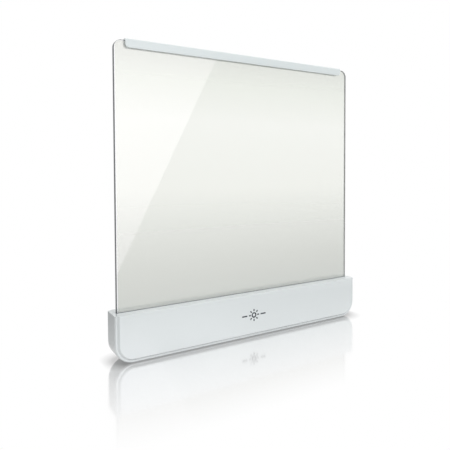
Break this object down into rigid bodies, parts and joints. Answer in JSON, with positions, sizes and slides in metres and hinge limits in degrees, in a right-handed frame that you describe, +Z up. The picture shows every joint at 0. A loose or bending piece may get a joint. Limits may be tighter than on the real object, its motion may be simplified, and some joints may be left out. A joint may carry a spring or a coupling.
{
  "type": "led panel light",
  "caption": "Edge-lit clear panel standing in a slim white battery base, with a slide switch and a pull-off battery door.",
  "frame": {"origin": "centre of the underside of the base, on the surface it stands on", "axes": "+X along the base to the right as seen from the front, +Y to the rear, +Z up; the face looks along -Y"},
  "size_m": [0.182, 0.015, 0.1818],
  "materials": {
    "white_shell": "injection-moulded white ABS, smooth gloss",
    "clear_acrylic": "cast clear acrylic sheet, polished edges, fine dot pattern",
    "frosted_cap": "extruded translucent white acrylic",
    "seat_plastic": "moulded natural ABS",
    "white_board": "white solder mask on glass-epoxy laminate",
    "white_film": "white reflective film",
    "led_case": "white moulded lamp package with pale yellow phosphor",
    "resistor_body": "black-topped thick-film chip",
    "cell_can": "printed film sleeve over a plated can",
    "plated_steel": "bright nickel plate on spring steel",
    "green_board": "green solder mask on glass-epoxy laminate",
    "black_epoxy": "moulded black epoxy",
    "dark_ferrite": "sintered ferrite",
    "capacitor_body": "tan ceramic chip",
    "switch_can": "tinned pressed-steel can",
    "black_plastic": "moulded black nylon",
    "screw_steel": "zinc-plated steel",
    "red_wire": "red PVC insulation",
    "black_wire": "black PVC insulation"
  },
  "bodies": {
    "base": {"base_housing": "white_shell", "front_cover": "white_shell", "light_panel": "clear_acrylic", "top_cap": "frosted_cap", "panel_seat_left": "seat_plastic", "panel_seat_right": "seat_plastic", "led_board": "white_board", "led_1": "led_case", "led_2": "led_case", "led_3": "led_case", "led_4": "led_case", "led_5": "led_case", "led_6": "led_case", "led_7": "led_case", "led_8": "led_case", "resistor_1": "resistor_body", "resistor_2": "resistor_body", "resistor_3": "resistor_body", "resistor_4": "resistor_body", "reflector_front": "white_film", "reflector_rear": "white_film", "cell_1": "cell_can", "cell_2": "cell_can", "cell_3": "cell_can", "battery_spring": "plated_steel", "spring_plate": "plated_steel", "positive_contact": "plated_steel", "control_board": "green_board", "driver_chip": "black_epoxy", "inductor": "dark_ferrite", "capacitor": "capacitor_body", "switch_body": "switch_can", "cover_screws": "screw_steel", "board_screws": "screw_steel", "battery_lead_minus": "black_wire", "battery_lead_plus": "red_wire", "lamp_lead_plus": "red_wire", "lamp_lead_minus": "black_wire"},
    "battery_door": {"battery_door": "white_shell"},
    "slider": {"slider_knob": "white_shell", "switch_stem": "black_plastic"}
  },
  "joints": [
    {"name": "battery_door_slide", "type": "slide", "parent": "base", "child": "battery_door", "axis": [0, 1, 0], "range_m": [0, 0.02]},
    {"name": "switch_slide", "type": "slide", "parent": "base", "child": "slider", "axis": [1, 0, 0], "range_m": [0, 0.002]}
  ]
}
